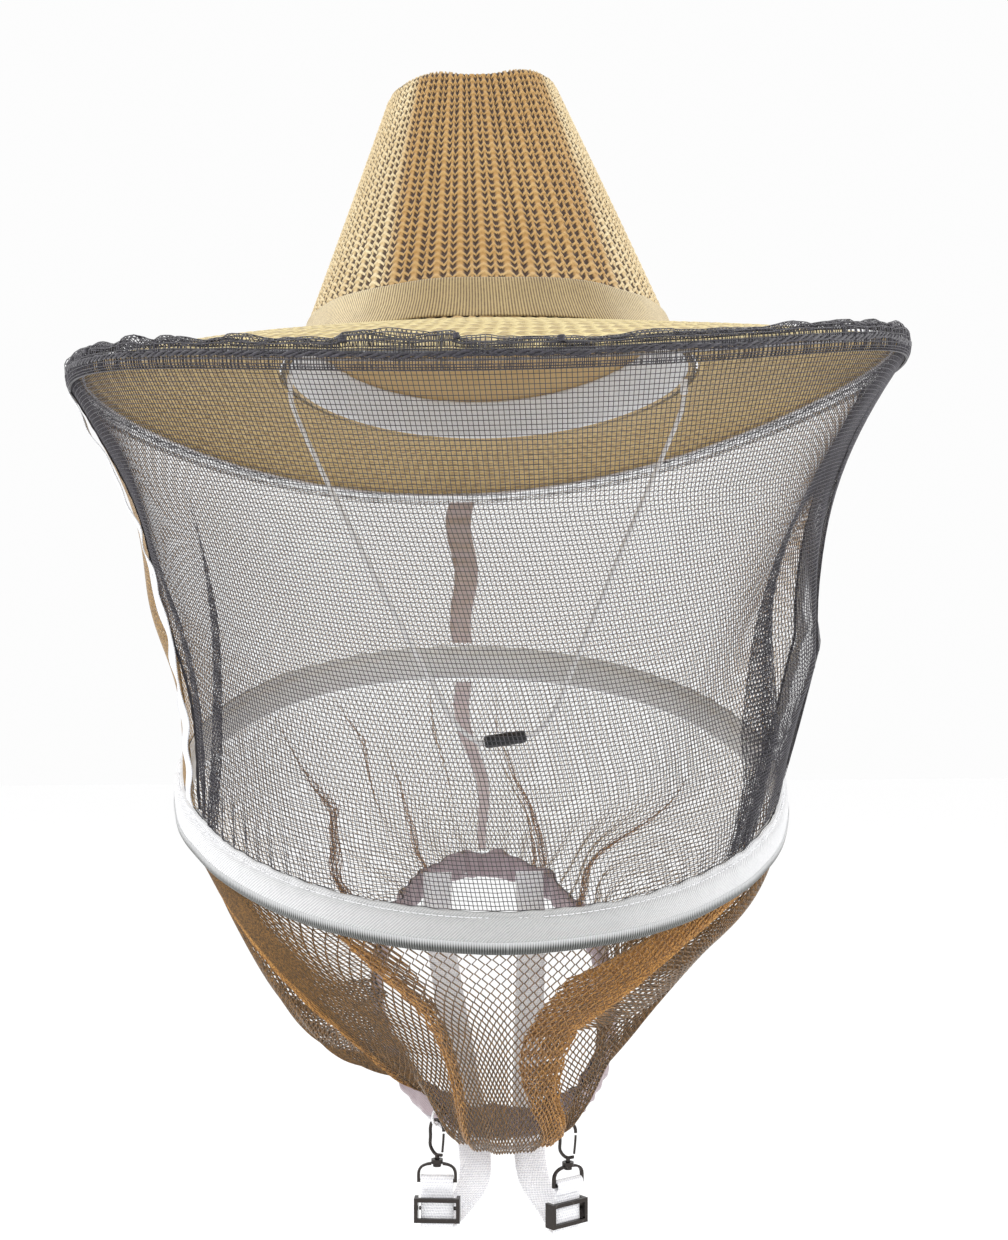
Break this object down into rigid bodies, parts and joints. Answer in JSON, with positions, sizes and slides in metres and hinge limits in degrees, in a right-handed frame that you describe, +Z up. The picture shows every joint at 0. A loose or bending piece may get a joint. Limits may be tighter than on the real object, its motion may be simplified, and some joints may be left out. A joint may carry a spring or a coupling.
{
  "type": "beekeeping veil",
  "caption": "Straw hat with a fine netting veil held off the face by a hoop, a net skirt gathered into an elastic neck hem, a chin cord and clip-on straps.",
  "frame": {"origin": "centre of the head opening, inside the sweatband, level with the crown's root", "axes": "+Z up along the crown; -Y the way the wearer faces; +X to the right of someone facing the wearer"},
  "size_m": [0.3788, 0.3788, 0.5015],
  "materials": {
    "straw": "woven paper straw, matt with a faint sheen",
    "ribbon": "ribbed woven ribbon",
    "white_fabric": "matt woven tape",
    "white_cord": "braided elastic cord",
    "black_net": "fine square netting, satin thread",
    "gold_net": "knitted diamond netting, satin thread",
    "mauve_fabric": "thin gathered polyester",
    "elastic": "covered elastic",
    "spring_steel": "drawn wire",
    "gunmetal": "black nickel plating, satin",
    "black_bead": "moulded plastic"
  },
  "bodies": {
    "hat": {"crown": "straw", "brim": "straw", "brim_wire": "spring_steel", "hat_band": "ribbon", "sweatband": "white_fabric", "veil_hem": "black_net", "hem_elastic": "elastic", "front_veil": "black_net", "back_veil": "gold_net", "side_tape_left": "white_fabric", "side_tape_right": "white_fabric", "back_tape": "mauve_fabric", "chin_tab_left": "white_fabric", "chin_tab_right": "white_fabric"},
    "veil_hoop": {"hoop_wire": "spring_steel", "hoop_ferrule": "spring_steel", "hoop_casing": "white_fabric", "skirt": "gold_net", "skirt_tape": "mauve_fabric", "neck_hem": "mauve_fabric", "neck_elastic": "elastic", "hem_loop_left": "white_fabric", "hem_loop_right": "white_fabric", "strap_left": "white_fabric", "strap_right": "white_fabric", "swivel_eye_left": "gunmetal", "swivel_eye_right": "gunmetal"},
    "chin_strap": {"chin_cord": "white_cord", "chin_bead": "black_bead"},
    "snap_hook_left": {"hook_left": "gunmetal"},
    "gate_left": {"hook_gate_left": "gunmetal"},
    "slider_left": {"slider_frame_left": "gunmetal", "slider_bar_left": "gunmetal"},
    "snap_hook_right": {"hook_right": "gunmetal"},
    "gate_right": {"hook_gate_right": "gunmetal"},
    "slider_right": {"slider_frame_right": "gunmetal", "slider_bar_right": "gunmetal"}
  },
  "joints": [
    {"name": "veil_lift", "type": "slide", "parent": "hat", "child": "veil_hoop", "axis": [0, 0, 1], "range_m": [0, 0.045], "deforming": ["front_veil", "back_veil", "side_tape_left", "side_tape_right", "back_tape"]},
    {"name": "chin_cord_swing", "type": "hinge", "parent": "hat", "child": "chin_strap", "pos_m": [0, 0, -0.0218], "axis": [-1, 0, 0], "range_deg": [-20, 35]},
    {"name": "hook_swivel_left", "type": "hinge", "parent": "veil_hoop", "child": "snap_hook_left", "pos_m": [-0.02895, -0.09592, -0.33105], "axis": [0, 0, 1], "range_deg": [-35, 35]},
    {"name": "gate_hinge_left", "type": "hinge", "parent": "snap_hook_left", "child": "gate_left", "pos_m": [-0.02688, -0.09756, -0.34395], "axis": [-0.6189, -0.7855, 0], "range_deg": [0, 22], "stiffness_Nm_per_rad": 0.004, "springref_deg": -20.05},
    {"name": "slider_slide_left", "type": "slide", "parent": "veil_hoop", "child": "slider_left", "axis": [0, 0, 1], "range_m": [0, 0.003]},
    {"name": "hook_swivel_right", "type": "hinge", "parent": "veil_hoop", "child": "snap_hook_right", "pos_m": [0.02472, -0.09895, -0.33271], "axis": [0, 0, 1], "range_deg": [-12, 55]},
    {"name": "gate_hinge_right", "type": "hinge", "parent": "snap_hook_right", "child": "gate_right", "pos_m": [0.02733, -0.09855, -0.34562], "axis": [0.1516, -0.9884, 0], "range_deg": [0, 22], "stiffness_Nm_per_rad": 0.004, "springref_deg": -20.05},
    {"name": "slider_slide_right", "type": "slide", "parent": "veil_hoop", "child": "slider_right", "axis": [0, 0, 1], "range_m": [0, 0.003]}
  ]
}
